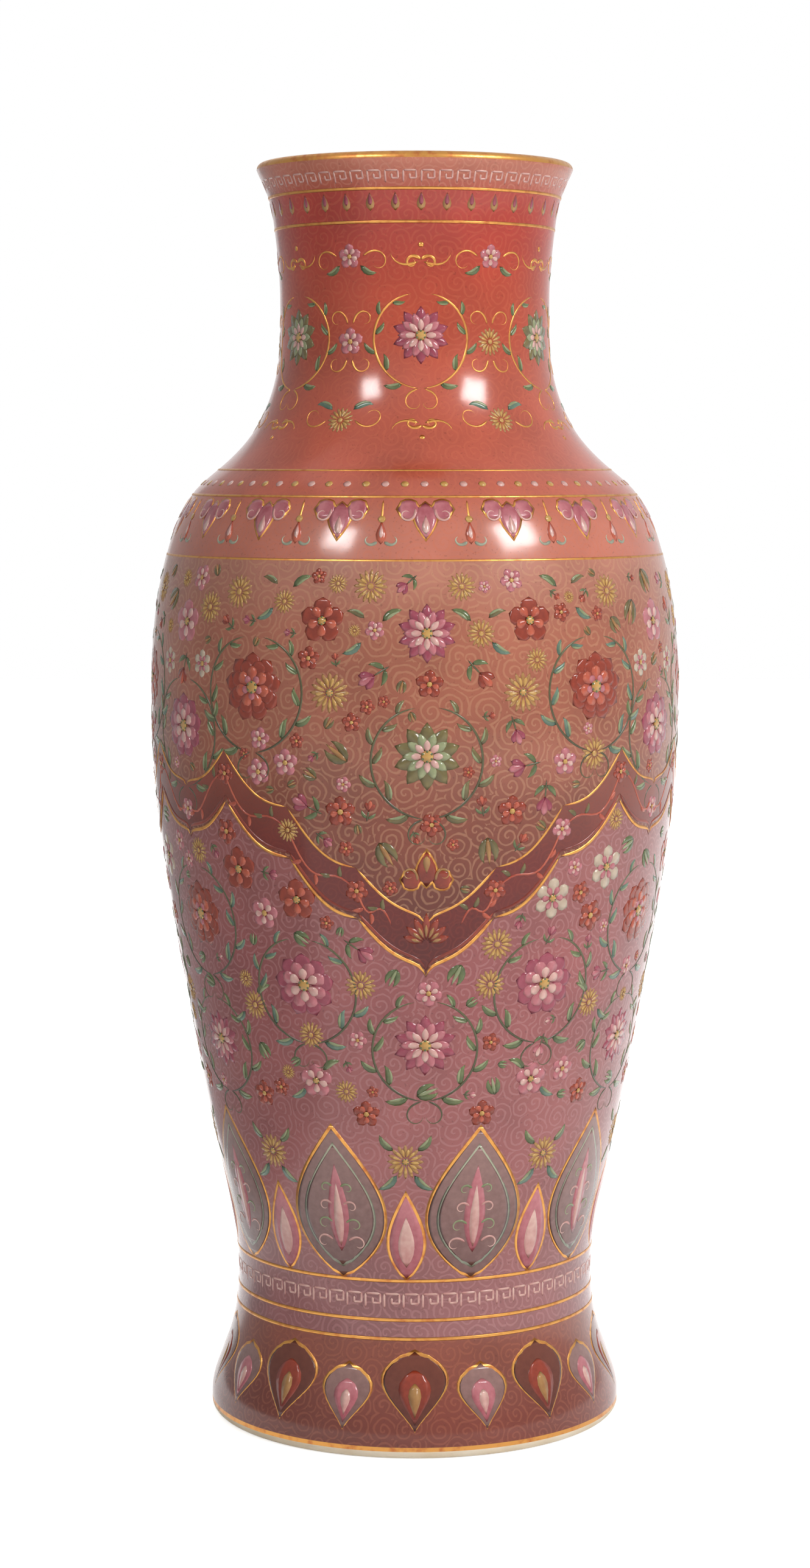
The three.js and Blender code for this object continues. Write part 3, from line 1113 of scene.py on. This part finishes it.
def twin_leaves(spot, radius, colours):
    pair(colours[0], spot, 0, -0.6 * radius, 35, 1.5 * radius, 0.18, 0.5 * radius)
    layers(spot, leaf_shape, (colours[1], -0.6 * radius, 0.9 * radius, 0.3 * radius, 0.16, 0.1))
    claim(spot, 0, 0, radius)


def fill(low, high, radius, blossoms, buds, leaves, ground=0.0):
    """Fills a band between two edges with motifs of one size, wherever there is room."""
    taken, painted = np.array(claimed).T, 0
    for _ in range(TRIES):
        degrees, share = rng.uniform(0, 360), rng.uniform(0, 1)
        turn, kind = rng.uniform(0, 360), rng.integers(0, 7)
        bottom, top = along(low(degrees)) + radius + 1, along(high(degrees)) - radius - 1
        length = bottom + share * (top - bottom)
        if top < bottom or not is_free(taken, math.radians(degrees), length, radius):
            continue
        spot = Spot(degrees, float(height_at(length)), turn=turn, ground=ground)
        if kind < 3:
            flower(blossoms[kind], spot, 0.92 * radius)
        elif kind < 5:
            bud(spot, radius, buds[kind - 3])
        else:
            twin_leaves(spot, radius, leaves)
        taken, painted = np.array(claimed).T, painted + 1
    return painted


count = 0
for radius in (6.4, 5.4, 4.6, 3.8, 3.1, 2.5):
    count += fill(lambda degrees: SCROLL_BOTTOM_Z, collar_edge, radius, ("plum", "coral_plum", "aster"),
                  (("ruby", "rose"), ("rose", "blush")), ("leaf_green", "pale_green"))
    count += fill(border_top, collar_top, radius, ("coral_plum", "aster", "plum"),
                  (("iron_red", "coral"), ("ruby", "rose")), ("olive", "ochre"), COAT)
print(count, "small motifs fill the gaps:", faces_painted(), "faces so far")

# %% [markdown]
# ## Leaf lappets and foot
# Upright leaves stand round the lower body, as on the bronzes that such vases copy. The foot has a
# border of lotus petals on brick red, between gilt lines.

# %% Paint the lower borders
LAPPETS, LAPPET_START, LAPPET_Z = 9, 17.5, 62
for degrees in round_the_vase(LAPPETS, LAPPET_START):
    spot = Spot(degrees, LAPPET_Z)
    layers(
        spot, leaf_shape, ("gold", -1, 57, 35, 0.1, 0), ("dusk", 0, 55, 33, 0.1, 0.04),
        ("celadon", 3, 50, 27, 0.08, 0.09), ("dusk", 4, 48.8, 25.4, 0.08, 0.12),
        ("rose", 9, 42, 8, 0.08, 0.18), ("blush", 11, 35, 4, 0.08, 0.24),
    )
    for k in range(4):
        pair("pale_green" if k % 2 else "blush", spot, 2.8 - 0.4 * k, 13 + 6.8 * k, 48, 11.5 - 1.2 * k,
             -0.8, 1.1, comma_shape, 0.08, 0.2)
    between = degrees + 180 / LAPPETS
    layers(
        Spot(between, LAPPET_Z), leaf_shape, ("gold", -1, 33, 14, 0.1, 0), ("rose", 0, 31, 12.4, 0.12, 0.04),
        ("blush", 4, 23, 6, 0.08, 0.14),
    )
    flower("aster", Spot(between, 105), 6.5)
    for flip in (True, False):
        spot = Spot(between, 105, flip=flip)
        leaf(spot, 3, -5, -60, 9, colour="blue_green")
        leaf(spot, 4, 4, 30, 8)

rings("gold", 61, 47, 40.4, width=1.3)
key_fret(51.2, 60, 1.2)

# %% Paint the foot
TALL_PETAL = (29, 24, ("umber", "iron_red", "ochre"))
SHORT_PETAL = (24, 19, ("dusk", "rose", "blush"))
for i, degrees in enumerate(round_the_vase(18, 0.0)):
    tall, wide, (rim, heart, tongue) = TALL_PETAL if i % 2 == 0 else SHORT_PETAL
    layers(
        Spot(degrees, 9.5), round_petal, ("gold", 0, tall, wide, 0.1, 0),
        (rim, 0.5, tall - 1, wide - 1.8, 0.1, 0.04), (heart, 2.5, 0.76 * tall, 0.5 * wide, 0.08, 0.12),
        (tongue, 5, 0.6 * tall, 0.22 * wide, 0.08, 0.18),
    )
print("all painted:", faces_painted(), "faces")

# %% [markdown]
# ## Fire the enamels
# An enameller lays one colour at a time over the whole vase, so each colour becomes one piece. The
# strokes are closed lenses, and their normals are recalculated now that all of them are in place.

# %% One piece for each colour
ENAMELS = {
    "ruby": ("#7a2438", "#9a4656", "#3f1018"), "rose": ("#97454f", "#bd747a", "#571f26"),
    "blush": ("#b9807a", "#d6b0a4", "#74403a"), "cream": ("#a78f7c", "#c3b19b", "#77574a"),
    "iron_red": ("#6d2314", "#933822", "#380f08"), "coral": ("#9c3c28", "#bd5e44", "#5a1c10"),
    "umber": ("#552519", "#6d3626", "#2e130c"), "ochre": ("#8c6034", "#ab7f4a", "#4a2c16"),
    "yellow": ("#ab7c3a", "#c79f5a", "#5f3d1a"), "olive": ("#544a2c", "#76693f", "#2a2214"),
    "leaf_green": ("#45502f", "#6b7548", "#20281a"), "pale_green": ("#727a54", "#989c76", "#3c4428"),
    "stem_green": ("#443f28", "#5c5838", "#26220f"), "blue_green": ("#42594a", "#6c8470", "#1c322a"),
    "celadon": ("#7e8270", "#a9a890", "#4a4438"), "dusk": ("#6e4c48", "#8f6c66", "#3c211c"),
}

for colour, bm in sorted(strokes.items()):
    bmesh.ops.recalc_face_normals(bm, faces=bm.faces)
    finish = gold if colour == "gold" else stroke_enamel(f"{colour}_enamel_strokes", *ENAMELS[colour])
    piece = finished(f"{colour}_strokes", bm, [finish], sharp_degrees=180)
    triangles = sum(len(polygon.vertices) - 2 for polygon in piece.data.polygons)
    print(f"{piece.name}: {triangles} triangles")

# %% [markdown]
# ## Floor
# The photograph was taken against white. The floor keeps the vase's soft shadow near the foot, and
# shines pure white to the camera further out, so that no horizon shows.

# %% Floor


def sheet(name, width, height, finish):
    """A flat sheet of the studio. It lies flat until it is turned."""
    bm = bmesh.new()
    bmesh.ops.create_grid(bm, x_segments=1, y_segments=1, size=0.5)
    for v in bm.verts:
        v.co = (v.co.x * width, v.co.y * height, 0)
    mesh = mesh_from(name, bm)
    mesh.materials.append(finish)
    made = new_object(name, mesh)
    return made


def seen_directly(tree):
    """1 for rays from the camera, or through a reflection or glass, and 0 for rays that light things."""
    path = add(tree, "LightPath").outputs
    seen = add(tree, "Math", {0: path["Is Camera Ray"], 1: path["Is Glossy Ray"]}, operation="MAXIMUM")
    return add(tree, "Math", {0: seen, 1: path["Is Transmission Ray"]}, operation="MAXIMUM")


floor_finish, floor_tree, floor_shader, floor_coords = surface("studio_floor", Roughness=0.9)
feed(floor_shader, {"Base Color": "#f4f3f1", "Emission Color": "#ffffff"})
away = add(floor_tree, "VectorMath", {0: floor_coords}, operation="LENGTH")
white = add(floor_tree, "MapRange", {
    "Value": away, "From": (FOOT_R * MM, 1.8 * FOOT_R * MM), "To": (0.65, 1.0),
})
glow = add(floor_tree, "Math", {0: seen_directly(floor_tree), 1: white}, operation="MULTIPLY")
feed(floor_shader, {"Emission Strength": glow})
floor = sheet("floor", 8.0, 8.0, floor_finish)
floor.location.z = -0.05 * MM

# %% [markdown]
# ## Light
# Two small softboxes stand in front of the vase. They give only its gloss: their reflections are the
# four bright marks on its shoulder and neck. Large lights at the side, in front and behind model the
# round of the body without a reflection of their own, and a white world fills the shadows and shows
# in the glaze. Seen at a slant, glaze mirrors more, so a white room pales the colour at both sides.
# The photograph keeps a deep left side, so a grey card stands there, out of the picture, and shows in the
# glaze alone.
# It is lit by no lamp but glows with a grey of its own, which the glaze shows as a painted reflection.
# The glow fades to white at its near edge, so that no line of it is mirrored.

# %% World and lamps
FILL = 0.12
world = bpy.data.worlds.new("studio")
bpy.context.scene.world = world
world.use_nodes = True
backdrop = world.node_tree.nodes["Background"]
strength = add(world.node_tree, "MapRange", {
    "Value": seen_directly(world.node_tree), "To": (FILL, 1.0),
})
feed(backdrop, {"Color": "#ffffff", "Strength": strength})


def softbox(name, azimuth, elevation, distance, width, height, power):
    """A rectangle of light that faces the middle of the vase."""
    data = bpy.data.lights.new(name, "AREA")
    data.shape = "RECTANGLE"
    data.size, data.size_y, data.energy = width, height, power
    lamp = new_object(name, data)
    a, e = math.radians(azimuth), math.radians(elevation)
    middle = (cad_low + cad_high) / 2
    outward = type(middle)((math.sin(a) * math.cos(e), -math.cos(a) * math.cos(e), math.sin(e)))
    lamp.location = middle + distance * outward
    lamp.rotation_euler = outward.to_track_quat("Z", "Y").to_euler()
    return lamp


softbox("left_softbox", -38, 37, 1.5, 0.3, 0.28, 7.8).visible_diffuse = False
softbox("right_softbox", 52, 37, 1.5, 0.42, 0.34, 13.5).visible_diffuse = False
softbox("side_light", 50, 32, 2.2, 1.4, 1.8, 40).visible_glossy = False
softbox("front_light", -12, 32, 2.4, 1.6, 1.6, 17).visible_glossy = False
softbox("back_light", 195, 30, 2.4, 1.6, 1.6, 24).visible_glossy = False

# The card is lit by no lamp: its grey is its own glow, a painted reflection for the glaze, paler towards its
# near edge.
card_finish, card_tree, card_shader, card_coords = surface("glowing_grey_card", Roughness=0.9)
inward = add(card_tree, "SeparateXYZ", {0: card_coords}).outputs["X"]
grey = add(card_tree, "MapRange", {
    "Value": inward, "From": (-0.28, -0.08), "To": (1.0, 0.55),
}, interpolation_type="SMOOTHSTEP")
feed(card_shader, {"Base Color": "#000000", "Emission Color": "#ffffff", "Emission Strength": grey})
card = sheet("glowing_grey_card", 0.56, 0.66, card_finish)
card.location, card.rotation_euler = (-0.2, 0.06, 0.335), (math.pi / 2, 0, math.pi / 2)
card.visible_camera = card.visible_diffuse = card.visible_shadow = False
bpy.context.scene.view_settings.view_transform = "Standard"
